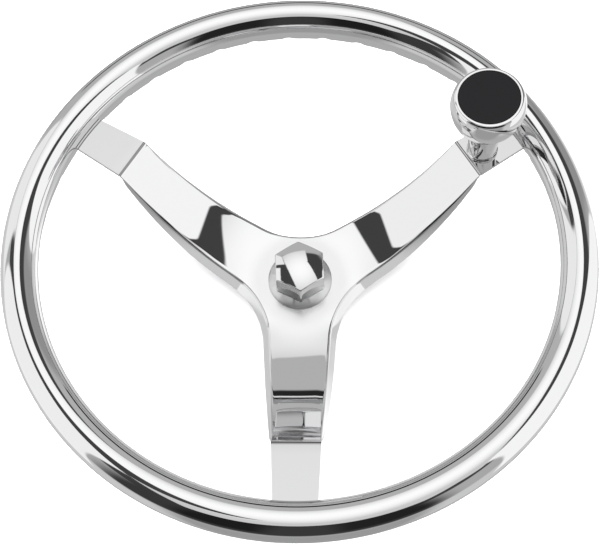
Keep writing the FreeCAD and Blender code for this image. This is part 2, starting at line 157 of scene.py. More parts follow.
# Knob: its place on the spoke, and its profiles, as (radius, height) in millimetres along its axis
KNOB_REACH = 0.1279
KNOB_AXIS_AZIMUTH = SPOKE_ANGLES[0]
STEM_PROFILE = [(4.2, 0), (9.3, 0), (9.3, 1.6), (8.7, 2.2), (8.5, 2.5), (8.5, 3.7), (10.55, 30.0),
                (9.9, 31.0), (4.2, 31.0)]
BOWL_FOOT = [(9.4, 32.1), (11.4, 32.1), (12.0, 32.3)]
BOWL_INSIDE = [(17.32, 59.43), (17.3, 56.6), (13.0, 56.6), (13.0, 48.3), (7.02, 48.3), (7.02, 33.3),
               (9.42, 33.3)]
DISC_PROFILE = [(0, 56.6), (17.2, 56.6), (17.2, 59.0), (16.9, 59.4), (14.0, 59.62), (7.0, 59.85),
                (0, 59.9)]

# The bowl's round stretches: centre and radius in millimetres, first and last angle in degrees, steps
BOWL_BELLY = ((-8.2, 51.5), 29.5, -39.6, 0.0, 16)
BOWL_WALL = ((6.24, 51.5), 15.06, 0.0, 28.9, 12)
BOWL_LIP = ((18.2, 58.05), 1.4, 28.9, 92.0, 8)
STEM_EDGE_SOFTNESS = 0.0003
BOWL_EDGE_SOFTNESS = 0.00015

# Distance at which a slope of the sheet is measured
PROBE_STEP = 1e-5


def smooth_step(value, start, end):
    share = min(max((value - start) / (end - start), 0.0), 1.0)
    return share * share * (3 - 2 * share)


def grown_between(value, grows, ends):
    """From 0 up to 1 over one stretch, and back to 0 over a later one."""
    return smooth_step(value, *grows) * (1.0 - smooth_step(value, *ends))


# Pieces and their finishes

def new_piece(name, mesh, node, material, body):
    """Put a finished mesh into the scene in place of its node."""
    piece = bpy.data.objects.new(name, mesh)
    SCENE.collection.objects.link(piece)
    piece.data.materials.append(material)
    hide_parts(node)
    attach(piece, body)
    return piece


def finish_mesh(bm, name, sharp_deg):
    """Close the seams, point every face outwards and shade the surface smoothly up to its edges."""
    bmesh.ops.remove_doubles(bm, verts=bm.verts, dist=1e-6)
    bmesh.ops.recalc_face_normals(bm, faces=bm.faces)
    mesh = bpy.data.meshes.new(name)
    bm.to_mesh(mesh)
    bm.free()
    mesh.shade_smooth()
    mesh.set_sharp_from_angle(angle=math.radians(sharp_deg))
    return mesh


def spin_profile(points, steps=128):
    """A closed ring of surface, spun from a profile of (radius, height) points in millimetres."""
    bm = bmesh.new()
    verts = [bm.verts.new((r * MM, 0.0, h * MM)) for r, h in points]
    edges = [bm.edges.new((a, b)) for a, b in zip(verts, verts[1:])]
    if points[0][0] > 0 and points[-1][0] > 0:
        edges.append(bm.edges.new((verts[-1], verts[0])))
    bmesh.ops.spin(bm, geom=verts + edges, cent=(0, 0, 0), axis=(0, 0, 1), angle=math.tau, steps=steps,
                   use_merge=True)
    bmesh.ops.remove_doubles(bm, verts=bm.verts, dist=1e-7)
    return bm


def arc_points(centre, radius, start, end, count):
    """Points along a round stretch of a profile, both its ends included."""
    angles = [start + (end - start) * k / count for k in range(count + 1)]
    return [(centre[0] + radius * math.cos(a), centre[1] + radius * math.sin(a)) for a in angles]


def soften_edges(piece, width, angle_deg=30.0, segments=3):
    bevel = piece.modifiers.new("soft_edges", "BEVEL")
    bevel.width = width
    bevel.segments = segments
    bevel.limit_method = "ANGLE"
    bevel.angle_limit = math.radians(angle_deg)
    bevel.harden_normals = True


# Rim

def rim_section():
    """The rim's section round the middle of its tube: round in front, with the grip ridge behind."""
    ridge = Vector((-RIDGE_INWARD, -RIDGE_BACK))
    heading = math.atan2(ridge.y, ridge.x) + math.tau
    apart = math.acos((TUBE_RADIUS - RIDGE_RADIUS) / ridge.length)
    inner, outer = heading - apart, heading + apart
    front_arc = arc_points((0, 0), TUBE_RADIUS, outer - math.tau, inner, FRONT_STEPS)
    back_arc = arc_points(ridge, RIDGE_RADIUS, inner, outer, RIDGE_STEPS)
    front, back = [[Vector(spot) for spot in arc] for arc in (front_arc, back_arc)]
    inner_side = [front[-1].lerp(back[0], share) for share in SIDE_SHARES]
    outer_side = [back[-1].lerp(front[0], share) for share in SIDE_SHARES]
    return front + inner_side + back + outer_side


def pressed_depth(height, along):
    """How far a point of the ridge sinks where a round finger groove is pressed across it."""
    if abs(along) >= GRIP_RADIUS * GRIP_WIDTH_SHARE:
        return 0.0
    floor = RIDGE_RADIUS - GRIP_DEPTH + GRIP_RADIUS - math.sqrt(GRIP_RADIUS ** 2 - along ** 2)
    gap = floor - height
    if gap > GRIP_SOFTNESS:
        return 0.0
    if gap < -GRIP_SOFTNESS:
        return -gap
    return (GRIP_SOFTNESS - gap) ** 2 / (4 * GRIP_SOFTNESS)


def make_rim(material):
    """Spin the section into a ring, then press the finger grooves across its ridge."""
    bm = bmesh.new()
    verts = [bm.verts.new((RIM_RADIUS + spot.x, 0, RIM_HEIGHT + spot.y)) for spot in rim_section()]
    edges = [bm.edges.new(pair) for pair in zip(verts, verts[1:] + verts[:1])]
    bmesh.ops.spin(bm, geom=verts + edges, cent=(0, 0, 0), axis=(0, 0, 1), angle=math.tau,
                   steps=GRIP_COUNT * STEPS_PER_GRIP, use_merge=True)
    pitch = math.tau / GRIP_COUNT
    for vert in bm.verts:
        azimuth = math.atan2(vert.co.y, vert.co.x)
        outward = Vector((math.cos(azimuth), math.sin(azimuth), 0))
        out_of_ridge = outward * -math.sin(GRIP_LEAN) - Vector((0, 0, math.cos(GRIP_LEAN)))
        ridge = outward * (RIM_RADIUS - RIDGE_INWARD) + Vector((0, 0, RIM_HEIGHT - RIDGE_BACK))
        to_groove = (azimuth - GRIP_PHASE + pitch / 2) % pitch - pitch / 2
        height = (vert.co - ridge).dot(out_of_ridge)
        vert.co -= out_of_ridge * pressed_depth(height, to_groove * ridge.xy.length)
    mesh = finish_mesh(bm, "rim_tube", 60.0)
    new_piece("rim_tube", mesh, "rim", material, "wheel")


# Pressed spokes: one spoke lies along +X, and its distance out from the shaft is its reach

def spoke_height(reach):
    """Height of the pressed sheet's front face, at a distance along a spoke."""
    run = min(max(reach - HUB_FLAT_REACH, 0.0), BEND_REACH - HUB_FLAT_REACH)
    curve = HUB_FACE + DISH_RADIUS - math.sqrt(DISH_RADIUS ** 2 - run ** 2)
    if reach <= BEND_REACH:
        return curve
    return curve + (reach - BEND_REACH) * math.tan(END_SLOPE)


def soft_spoke_height(reach):
    """The same height with the sharp bend rounded a little, as a press leaves it."""
    if abs(reach - BEND_REACH) > 3 * BEND_SOFTNESS:
        return spoke_height(reach)
    heights = [spoke_height(reach + shift * BEND_SOFTNESS) for shift in BEND_STATIONS]
    weighted = sum(height * weight for height, weight in zip(heights, BEND_WEIGHTS))
    return weighted / sum(BEND_WEIGHTS)


def edge_roll(spot):
    """How far the sheet sinks again over the last millimetres before its folded edge."""
    along = (spot.x - ROOT_REACH) / (BEND_REACH - ROOT_REACH)
    half_width = ROOT_HALF_WIDTH + (BEND_HALF_WIDTH - ROOT_HALF_WIDTH) * along
    past = max(abs(spot.y) - (half_width - ROLL_WIDTH), 0.0)
    return ROLL_TILT / 2 * past ** 2 * grown_between(spot.x, ROLL_GROWS, ROLL_ENDS)


def hollow_height(spot):
    """How far the sheet rises beside a spoke's middle line, because the press hollows it a little."""
    hollow = HOLLOW_TILT / 2 * spot.y ** 2 / (1.0 + (spot.y / HOLLOW_FADE_WIDTH) ** 4)
    return hollow * grown_between(spot.x, HOLLOW_GROWS, HOLLOW_ENDS) - edge_roll(spot)


def hollow_tilt(spot):
    return (hollow_height(spot + Vector((0, PROBE_STEP, 0))) - hollow_height(spot)) / PROBE_STEP


def face_point(spot):
    """Where a plan place of a spoke lies on the pressed sheet's front face."""
    return Vector((spot.x, spot.y, soft_spoke_height(spot.x) + hollow_height(spot)))


def sheet_normal(reach):
    rise = soft_spoke_height(reach + PROBE_STEP) - soft_spoke_height(reach - PROBE_STEP)
    return Vector((-rise / (2 * PROBE_STEP), 0, 1)).normalized()


def web_geometry():
    """Outward normal of a spoke's straight edge, its tangent point with the web, and the web's centre."""
    lean = math.atan((ROOT_HALF_WIDTH - BEND_HALF_WIDTH) / (BEND_REACH - ROOT_REACH))
    outward = Vector((math.sin(lean), math.cos(lean), 0))
    edge_distance = BEND_REACH * math.sin(lean) + BEND_HALF_WIDTH * math.cos(lean)
    distance = (edge_distance + WEB_RADIUS) / math.sin(HALF_SPACING + lean)
    centre = Vector((math.cos(HALF_SPACING), math.sin(HALF_SPACING), 0)) * distance
    return outward, centre - outward * WEB_RADIUS, centre


def edge_stations():
    """Plan points and outward normals along a spoke's edge, from the web's middle to the rim."""
    outward, tangent, centre = web_geometry()
    first = HALF_SPACING - math.pi
    last = math.atan2(-outward.y, -outward.x)
    stations = []
    for k in range(WEB_STATIONS):
        angle = first + (last - first) * k / WEB_STATIONS
        direction = Vector((math.cos(angle), math.sin(angle), 0))
        stations.append((centre + direction * WEB_RADIUS, -direction))
    narrowing = outward.x / outward.y
    reaches = [tangent.x + (BEND_REACH - tangent.x) * k / ARM_STATIONS for k in range(ARM_STATIONS)]
    reaches += [BEND_REACH + shift * BEND_SOFTNESS for shift in BEND_STATIONS]
    for reach in reaches:
        stations.append((Vector((reach, tangent.y - (reach - tangent.x) * narrowing, 0)), outward))
    after_bend = BEND_REACH + BEND_STATIONS[-1] * BEND_SOFTNESS
    end_length = RIM_RADIUS - TUBE_RADIUS * END_TUBE_SHARE - after_bend
    slant = (BEND_HALF_WIDTH - END_HALF_WIDTH) / (RIM_RADIUS - TUBE_RADIUS - BEND_REACH)
    for k in range(1, END_STATIONS + 1):
        reach = after_bend + end_length * k / END_STATIONS
        spot = Vector((reach, BEND_HALF_WIDTH - slant * (reach - BEND_REACH), 0))
        stations.append((spot, Vector((0, 1, 0))))
    return stations


def folded_stations(stations):
    """The stations whose edge is folded: the web, the arm and the first half of the bend."""
    return stations[:WEB_STATIONS + ARM_STATIONS + 3]


def flange_depth(reach, station):
    """How deep the edge is folded: full round the web, fading out to nothing at the bend."""
    if station < WEB_STATIONS:
        return FLANGE_DEPTH_AT_HUB
    _, tangent, _ = web_geometry()
    share = (BEND_REACH - reach) / (BEND_REACH - tangent.x)
    if share <= 0:
        return 0.0
    deepening = math.sin(share * math.pi / 2)
    depth = FLANGE_DEPTH_AT_BEND + (FLANGE_DEPTH_AT_HUB - FLANGE_DEPTH_AT_BEND) * deepening
    return depth * min(1.0, share / FLANGE_END_SHARE)


def fold_profile(depth, tilt=0.0):
    """The folded edge seen in section: (outwards, down) from the sheet's own edge."""
    if depth <= 0:
        return [(0.0, 0.0)] * (FOLD_STEPS + 1)
    radius = FOLD_RADIUS * min(1.0, depth / FULL_FOLD_DEPTH)
    turn = math.pi / 2 - FLANGE_FLARE
    inset = radius * math.tan(turn / 2)
    shape = []
    for k in range(FOLD_STEPS):
        angle = (turn + tilt) * k / (FOLD_STEPS - 1) - tilt
        out = radius * (math.sin(angle) + math.sin(tilt)) - inset
        shape.append((out, radius * (math.cos(tilt) - math.cos(angle))))
    shape.append((depth * math.tan(FLANGE_FLARE), depth))
    return shape


def edge_inset(depth):
    return -fold_profile(depth)[0][0]


def face_spot(row, side, stations):
    """Plan place of one grid point of a spoke's face: its row from the hub out, its side -1 to 1."""
    web_edge = stations[0][0].length - edge_inset(FLANGE_DEPTH_AT_HUB)
    if row < RAY_STATIONS:
        radius = HUB_HOLE_RADIUS + (web_edge - HUB_HOLE_RADIUS) * row / RAY_STATIONS
        angle = HALF_SPACING * side
        return Vector((radius * math.cos(angle), radius * math.sin(angle), 0))
    station = row - RAY_STATIONS
    spot, outward = stations[station]
    edge = spot - outward * edge_inset(flange_depth(spot.x, station))
    if station >= WEB_STATIONS:
        return Vector((edge.x, edge.y * side, 0))
    share = station / WEB_STATIONS
    _, tangent, _ = web_geometry()
    middle = web_edge + (tangent.x - web_edge) * share
    angle = math.atan2(edge.y, edge.x) * side
    on_arc = Vector((edge.length * math.cos(angle), edge.length * math.sin(angle), 0))
    on_line = Vector((edge.x + (middle - edge.x) * (1 - side ** 2), edge.y * side, 0))
    return on_arc.lerp(on_line, share)


def map_spoke_face(bm, stations):
    """Bend a flat grid into one third of the pressed star's front face."""
    rows = RAY_STATIONS + len(stations)
    for vert in bm.verts:
        row = round((vert.co.x + 0.5) * (rows - 1))
        side = vert.co.y * 2
        side = (1 - EDGE_CROWDING) * side + EDGE_CROWDING * math.sin(side * math.pi / 2)
        vert.co = face_point(face_spot(row, side, stations))


def map_fold(bm, stations):
    """Bend a flat grid into the folded edge of half a spoke, from the web's middle to the bend."""
    for vert in bm.verts:
        station = round((vert.co.x + 0.5) * (len(stations) - 1))
        step = round((vert.co.y + 0.5) * FOLD_STEPS)
        spot, outward = stations[station]
        depth = flange_depth(spot.x, station)
        inset = edge_inset(depth)
        edge = spot - outward * inset
        out, down = fold_profile(depth, hollow_tilt(edge))[step]
        vert.co = face_point(edge) + outward * (out + inset) - sheet_normal(spot.x) * down


def grid(rows, columns):
    bm = bmesh.new()
    bmesh.ops.create_grid(bm, x_segments=rows - 1, y_segments=columns - 1, size=0.5)
    return bm


def join_into(target, bm, matrix):
    """Copy a part of the star into the whole, turned to its place."""
    mesh = bpy.data.meshes.new("star_part")
    bm.to_mesh(mesh)
    mesh.transform(matrix)
    target.from_mesh(mesh)
    bpy.data.meshes.remove(mesh)


def make_spokes(material):
    """Press one spoke's face and folds, set three round the shaft, and give the sheet its wall."""
    stations = edge_stations()
    folded = folded_stations(stations)
    face = grid(RAY_STATIONS + len(stations), ACROSS + 1)
    map_spoke_face(face, stations)
    fold = grid(len(folded), FOLD_STEPS + 1)
    map_fold(fold, folded)
    star = bmesh.new()
    mirror = Matrix.Diagonal((1, -1, 1, 1))
    for angle in SPOKE_ANGLES:
        turn = Matrix.Rotation(angle, 4, "Z")
        join_into(star, face, turn)
        join_into(star, fold, turn)
        join_into(star, fold, turn @ mirror)
    face.free()
    fold.free()
    bmesh.ops.remove_doubles(star, verts=star.verts, dist=4e-6)
    bmesh.ops.dissolve_degenerate(star, edges=star.edges, dist=1e-6)
    bmesh.ops.recalc_face_normals(star, faces=star.faces)
    if sum(cell.normal.z * cell.calc_area() for cell in star.faces) < 0:
        bmesh.ops.reverse_faces(star, faces=star.faces)
    mesh = bpy.data.meshes.new("pressed_spokes")
    star.to_mesh(mesh)
    star.free()
    mesh.shade_smooth()
    piece = new_piece("pressed_spokes", mesh, "spoke_spider", material, "wheel")
    wall = piece.modifiers.new("sheet", "SOLIDIFY")
    wall.thickness = SHEET
    wall.offset = -1.0
    wall.use_even_offset = False
    wall.use_quality_normals = True
    soften_edges(piece, SHEET_EDGE_SOFTNESS, 50.0, 2)


# Hub

def make_boss(material):
    mesh = finish_mesh(spin_profile(BOSS_PROFILE), "boss", 30.0)
    piece = new_piece("turned_boss", mesh, "hub_boss", material, "wheel")
    soften_edges(piece, BOSS_EDGE_SOFTNESS)


def hexagon_radius(azimuth):
    """Radius of the nut's hexagon in one direction, with its corners slightly rounded."""
    total = 0.0
    for k in range(6):
        facing = math.cos(azimuth - NUT_TURN - k * math.pi / 3)
        if facing > 0:
            total += (facing / (NUT_ACROSS_FLATS / 2)) ** NUT_CORNER_SHARPNESS
    return total ** (-1 / NUT_CORNER_SHARPNESS)


def crown_height(radius):
    """Height of the nut's round crown above the hub's face."""
    dome = (NUT_CORNER_RADIUS ** 2 + NUT_CROWN_RISE ** 2) / (2 * NUT_CROWN_RISE)
    return NUT_CORNER_HEIGHT + NUT_CROWN_RISE - dome + math.sqrt(dome ** 2 - radius ** 2)


def nut_profile(azimuth):
    """The nut's profile in one direction: over the crown, down the hexagon, round its flange."""
    edge = hexagon_radius(azimuth)
    top = crown_height(edge)
    crown = [(edge * share, crown_height(edge * share)) for share in NUT_CROWN_SHARES]
    rounded = [(edge - NUT_EDGE_SOFTNESS, top - 2 * NUT_EDGE_SOFTNESS)]
    wall = [(edge, top - drop) for drop in NUT_WALL_DROPS]
    foot = [(edge, NUT_FLANGE_TOP), (edge + NUT_FOOT_ROUND, NUT_FOOT_HEIGHT)]
    flange = [(radius * MM, height * MM) for radius, height in NUT_FLANGE_PROFILE]
    return crown + rounded + wall + foot + flange


def make_nut(material):
    """Wrap a flat grid round the shaft, along the nut's profile in each direction."""
    last_row = len(nut_profile(0.0)) - 1
    bm = bmesh.new()
    bmesh.ops.create_grid(bm, x_segments=NUT_STEPS_ROUND, y_segments=last_row, size=0.5)
    for vert in bm.verts:
        azimuth = (vert.co.x + 0.5) * math.tau
        row = round((vert.co.y + 0.5) * last_row)
        radius, height = nut_profile(azimuth)[row]
        vert.co = Vector((radius * math.cos(azimuth), radius * math.sin(azimuth), height + HUB_FACE))
    mesh = finish_mesh(bm, "flange_nut", 40.0)
    new_piece("domed_nut", mesh, "shaft_nut", material, "wheel")


# Knob

def knob_matrix():
    """From the knob's own frame, square to its spoke's end, to the wheel's frame."""
    foot = Matrix.Translation((
        KNOB_REACH * math.cos(KNOB_AXIS_AZIMUTH),
        KNOB_REACH * math.sin(KNOB_AXIS_AZIMUTH),
        spoke_height(KNOB_REACH),
    ))
    turn = Matrix.Rotation(KNOB_AXIS_AZIMUTH, 4, "Z")
    tilt = Matrix.Rotation(-END_SLOPE, 4, "Y")
    return foot @ turn @ tilt


def turned_piece(name, node, material, body, profile, softness):
    bm = spin_profile(profile)
    bmesh.ops.transform(bm, matrix=knob_matrix(), verts=bm.verts)
    mesh = finish_mesh(bm, name, 30.0)
    piece = new_piece(name, mesh, node, material, body)
    if softness:
        soften_edges(piece, softness)


def bowl_outside():
    """The bowl's outline from its foot: the belly that opens upwards, the round wall and the lip."""
    outline = list(BOWL_FOOT)
    for centre, radius, start_deg, end_deg, steps in (BOWL_BELLY, BOWL_WALL, BOWL_LIP):
        outline += arc_points(centre, radius, math.radians(start_deg), math.radians(end_deg), steps)[1:]
    return outline


def make_knob(steel, black):
    stem, bowl, disc = STEM_PROFILE, bowl_outside() + BOWL_INSIDE, DISC_PROFILE
    turned_piece("knob_stem", "knob_post", steel, "wheel", stem, STEM_EDGE_SOFTNESS)
    turned_piece("knob_bowl", "knob_body", steel, "knob", bowl, BOWL_EDGE_SOFTNESS)
    turned_piece("knob_disc", "knob_insert", black, "knob", disc, 0.0)


# Shader parts that the finishes and the studio share

def combine(tree, operation, first, second):
    node = tree.nodes.new("ShaderNodeMath")
    node.operation = operation
    tree.links.new(first, node.inputs[0])
    tree.links.new(second, node.inputs[1])
    return node.outputs[0]


def distance_along(tree, spot, direction):
    """How far a place or a direction reaches along one fixed direction."""
    node = tree.nodes.new("ShaderNodeVectorMath")
    node.operation = "DOT_PRODUCT"
    node.inputs[1].default_value = direction
    tree.links.new(spot, node.inputs[0])
    return node.outputs["Value"]


def fade(tree, value, start, end, low, high, curve="SMOOTHSTEP"):
    """A value that goes from low to high while the input goes from start to end."""
    node = tree.nodes.new("ShaderNodeMapRange")
    node.interpolation_type = curve
    node.inputs["From Min"].default_value = start
    node.inputs["From Max"].default_value = end
    node.inputs["To Min"].default_value = low
    node.inputs["To Max"].default_value = high
    tree.links.new(value, node.inputs["Value"])
    return node.outputs["Result"]


# Finishes

STEEL = (0.80, 0.80, 0.805)
BOSS_STEEL = (0.62, 0.63, 0.64)
FASTENER_STEEL = (0.66, 0.67, 0.68)
INSERT_BLACK = (0.006, 0.006, 0.0065)
BUSH_PLASTIC = (0.75, 0.74, 0.70)
LOCK_NYLON = (0.14, 0.25, 0.50)
HAZE_SCALE = 45.0
WAVE_SCALE = 28.0
WAVE_HEIGHT = 0.0006
SATIN_HUB_REACH = 0.026
SATIN_FADE_WIDTH = 0.014
SATIN_ROUGHNESS = 0.22
SATIN_FLANGE_ROUGHNESS = 0.34
SATIN_FLANGE_FADE = 0.0002
# Painted shade in the spoke steel's colour: a dark line in the corner of each bend, and a darker flat end
# past it
BEND_PAINTED_SHADE = 0.12
PAINTED_BEND_LINE_INNER = 0.0004
PAINTED_BEND_LINE_OUTER = 0.0006
END_PAINTED_SHADE = 0.78


def new_material(name):
    material = bpy.data.materials.new(name)
    material.use_nodes = True
    nodes = material.node_tree.nodes
    nodes.clear()
    output = nodes.new("ShaderNodeOutputMaterial")
    shader = nodes.new("ShaderNodeBsdfPrincipled")
    material.node_tree.links.new(shader.outputs["BSDF"], output.inputs["Surface"])
    return material, material.node_tree, shader


def object_place(tree):
    return tree.nodes.new("ShaderNodeTexCoord").outputs["Object"]


def object_noise(tree, scale, detail=3.0, stretch=(1.0, 1.0, 1.0)):
    """Fine variation tied to the piece's own coordinates."""
    mapping = tree.nodes.new("ShaderNodeMapping")
    mapping.inputs["Scale"].default_value = stretch
    noise = tree.nodes.new("ShaderNodeTexNoise")
    noise.inputs["Scale"].default_value = scale
    noise.inputs["Detail"].default_value = detail
    tree.links.new(object_place(tree), mapping.inputs["Vector"])
    tree.links.new(mapping.outputs["Vector"], noise.inputs["Vector"])
    return noise.outputs["Fac"]


def ranged(tree, value, low, high):
    return fade(tree, value, 0.0, 1.0, low, high, "LINEAR")


def bump(tree, shader, height, strength, distance):
    node = tree.nodes.new("ShaderNodeBump")
    node.inputs["Strength"].default_value = strength
    node.inputs["Distance"].default_value = distance
    tree.links.new(height, node.inputs["Height"])
    tree.links.new(node.outputs["Normal"], shader.inputs["Normal"])


def satin_hub(tree):
    """Extra roughness round the hub, where the sheet is brushed satin."""
    flat = tree.nodes.new("ShaderNodeVectorMath")
    flat.operation = "MULTIPLY"
    flat.inputs[1].default_value = (1.0, 1.0, 0.0)
    from_axis = tree.nodes.new("ShaderNodeVectorMath")
    from_axis.operation = "LENGTH"
    tree.links.new(object_place(tree), flat.inputs[0])
    tree.links.new(flat.outputs["Vector"], from_axis.inputs[0])
    polished = SATIN_HUB_REACH + SATIN_FADE_WIDTH
    return fade(tree, from_axis.outputs["Value"], SATIN_HUB_REACH, polished, SATIN_ROUGHNESS, 0.0)


def satin_flange(tree):
    """Extra roughness on the nut's flange, under its polished hexagon."""
    height = distance_along(tree, object_place(tree), Vector((0, 0, 1)))
    top = HUB_FACE + NUT_FLANGE_TOP
    return fade(tree, height, top - SATIN_FLANGE_FADE, top, SATIN_FLANGE_ROUGHNESS, 0.0)


def polished_steel(name, haze, waviness, satin=None):
    """Mirror-polished stainless: faint haze that varies, and the slight waves that buffing leaves."""
    material, tree, shader = new_material(name)
    shader.inputs["Base Color"].default_value = (*STEEL, 1.0)
    shader.inputs["Metallic"].default_value = 1.0
    roughness = ranged(tree, object_noise(tree, HAZE_SCALE), *haze)
    if satin:
        roughness = combine(tree, "ADD", roughness, satin(tree))
    tree.links.new(roughness, shader.inputs["Roughness"])
    bump(tree, shader, object_noise(tree, WAVE_SCALE, 1.0), waviness, WAVE_HEIGHT)
    return material


def spoke_reach(tree):
    """Distance out along the nearest spoke's middle line."""
    reach = None
    for angle in SPOKE_ANGLES:
        direction = Vector((math.cos(angle), math.sin(angle), 0))
        along = distance_along(tree, object_place(tree), direction)
        reach = along if reach is None else combine(tree, "MAXIMUM", reach, along)
    return reach


def paint_bend_shade(material):
    """Paint shade into the spoke steel's colour: a painted dark line in the corner of each spoke's bend,
    and painted shade that darkens the flat end past it.
    """
    tree = material.node_tree
    shader = next(node for node in tree.nodes if node.type == "BSDF_PRINCIPLED")
    reach = spoke_reach(tree)
    # The colour goes to near black in the bend's corner as painted shade, and stays darker past it as
    # painted shade on the flat end
    inner, outer = BEND_REACH - PAINTED_BEND_LINE_INNER, BEND_REACH + PAINTED_BEND_LINE_OUTER
    painted_bend_line = fade(tree, reach, inner, BEND_REACH, 1.0, BEND_PAINTED_SHADE)
    painted_end_shade = fade(tree, reach, BEND_REACH, outer, 0.0, END_PAINTED_SHADE - BEND_PAINTED_SHADE)
    shade = tree.nodes.new("ShaderNodeMix")
    shade.data_type = "RGBA"
    tree.links.new(combine(tree, "ADD", painted_bend_line, painted_end_shade), shade.inputs[0])
    shade.inputs[6].default_value = (0.0, 0.0, 0.0, 1.0)
    shade.inputs[7].default_value = (*STEEL, 1.0)
    tree.links.new(shade.outputs[2], shader.inputs["Base Color"])


def turned_steel(name, colour):
    """Satin steel with the fine rings that a lathe leaves."""
    material, tree, shader = new_material(name)
    shader.inputs["Base Color"].default_value = (*colour, 1.0)
    shader.inputs["Metallic"].default_value = 1.0
    rings = object_noise(tree, 90.0, 2.0, (1.0, 1.0, 24.0))
    tree.links.new(ranged(tree, rings, 0.22, 0.38), shader.inputs["Roughness"])
    bump(tree, shader, rings, 0.15, 0.0002)
    return material


def moulded_plastic(name, colour, roughness, grain, sheen=0.5):
    """Moulded plastic with a fine, dull grain."""
    material, tree, shader = new_material(name)
    shader.inputs["Base Color"].default_value = (*colour, 1.0)
    shader.inputs["Specular IOR Level"].default_value = sheen
    speckle = object_noise(tree, 900.0, 2.0)
    tree.links.new(ranged(tree, speckle, roughness - 0.05, roughness + 0.05), shader.inputs["Roughness"])
    bump(tree, shader, speckle, grain, 0.0001)
    return material


def make_finishes():
    """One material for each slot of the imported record."""
    spoke_steel = polished_steel("spoke_steel", (0.015, 0.035), 0.04, satin_hub)
    # Paint the dark line at each bend and the darker flat ends into the spoke steel's colour, as painted
    # shade
    paint_bend_shade(spoke_steel)
    return {
        "rim_steel": polished_steel("rim_steel", (0.03, 0.055), 0.08),
        "spoke_steel": spoke_steel,
        "nut_steel": polished_steel("nut_steel", (0.03, 0.06), 0.03, satin_flange),
        "knob_steel": polished_steel("knob_steel", (0.02, 0.045), 0.03),
        "boss_steel": turned_steel("boss_steel", BOSS_STEEL),
        "fastener_steel": turned_steel("fastener_steel", FASTENER_STEEL),
        "black_insert": moulded_plastic("black_insert", INSERT_BLACK, 0.62, 0.25, 0.08),
        "bush_plastic": moulded_plastic("bush_plastic", BUSH_PLASTIC, 0.4, 0.1),
        "nylon": moulded_plastic("nylon", LOCK_NYLON, 0.45, 0.1),
    }


# Studio. The steel mirrors itself and the world, which holds the studio's walls, lights and strips

# Each panel: name, its corners' azimuths and elevations in degrees, softness in degrees, shade
PANELS = [
    ("room_behind_camera", [(-145, -4), (-51, -4), (-51, 62), (-145, 62)], 6.0, 58),
    ("left_dark_strip", [(-124, 8), (-100, 8), (-100, 60), (-124, 60)], 4.0, 34),
    ("right_dark_strip", [(-80, 8), (-54, 8), (-54, 60), (-80, 60)], 4.0, 38),
    ("back_wall", [(58, -3), (142, -3), (124, 44), (84, 45), (58, 40)], 2.0, 172),
    ("back_corner", [(33, -3), (58, -3), (58, 40), (33, 42)], 4.0, 140),
    ("dark_skirting", [(60, 6), (125, 6), (125, 14), (60, 14)], 1.0, 40),
    ("right_soft_box", [(-36, -25), (31, -25), (28, 53), (-28, 53)], 0.7, 243),
    ("left_soft_box", [(212, -25), (172, -25), (144, 54), (205, 59.5)], 0.7, 236),
    ("far_left_soft_box", [(167, -5), (138, -5), (123.5, 42), (131, 55.5)], 0.7, 230),
    ("back_floor", [(50, -24), (135, -24), (135, -3), (50, -3)], 4.0, 158),
    ("front_floor", [(-125, -70), (-55, -70), (-55, -6), (-125, -6)], 6.0, 150),
    ("lit_floor", [(32, -58), (60, -58), (60, -22), (32, -22)], 8.0, 252),
]

# The ceiling's light is these flat shapes, which overlap and share one glow
CEILING_LIGHT = [
    [(123, 41.4), (82.9, 39.6), (71, 57.6), (128.7, 54.8)],
    [(126.6, 50.6), (76.8, 55.9), (2.2, 63.0), (-31.3, 47.3), (-86.6, 63.4)],
    [(-156.3, 61.4), (-17.4, 53.7), (-50.2, 49.3), (-127.1, 50.4)],
]
CEILING_LIGHT_SOFTNESS = 0.7
GLOW_MIDDLE = (90, 74)
GLOW_ANGLES = (37, 3)
GLOW_SHADES = (198, 252)

# Shades of the rest, and the heights of a direction, -1 to 1, between which each fades
GROUND_SHADE = 196
WALL_SHADE = 165
GROUND_TO_WALL = (-0.12, 0.0)
SHADE_BELOW = 166
BELOW_TO_GROUND = (-0.91, -0.70)
CEILING_SHADE = 64
WALL_TO_CEILING = (0.60, 0.66)

# Floor, surround and lamp, which the steel doesn't mirror
FLOOR_HALF_WIDTH = 3.0
SURROUND_RADIUS = 4.0
LAMP_PLACE = (0.0, 0.2, 1.8)
LAMP_WIDTH = 2.4
LAMP_POWER = 120.0

# Camera, and its own three directions
CAMERA_LENS = 60.53
CAMERA_PLACE = (0.014196, -0.261025, 0.606504)
CAMERA_RIGHT = (0.99974739, 0.00984861, -0.02020301)
CAMERA_ABOVE = (-0.000487, 0.908166, 0.418610)
CAMERA_BEHIND = (0.02247042, -0.41849417, 0.90794147)


def towards(azimuth_deg, elevation_deg):
    azimuth, elevation = math.radians(azimuth_deg), math.radians(elevation_deg)
    level = math.cos(elevation)
    return Vector((math.cos(azimuth) * level, math.sin(azimuth) * level, math.sin(elevation)))


def tone(shade):
    """Scene brightness that shows as a shade from 0 to 255 in the steel."""
    return (shade / 255.0) ** 2.2 / 0.80


def panel_mask(tree, direction, corners, softness_deg):
    """How much a direction looks at one flat studio panel, from 0 to 1, with soft edges."""
    spots = [towards(azimuth, elevation) for azimuth, elevation in corners]
    middle = sum(spots, Vector((0, 0, 0))).normalized()
    soft = math.sin(math.radians(softness_deg))
    mask = None
    for first, second in zip(spots, spots[1:] + spots[:1]):
        inward = first.cross(second).normalized()
        if inward.dot(middle) < 0:
            inward = -inward
        inside = fade(tree, distance_along(tree, direction, inward), -soft, soft, 0.0, 1.0)
        mask = inside if mask is None else combine(tree, "MULTIPLY", mask, inside)
    return mask


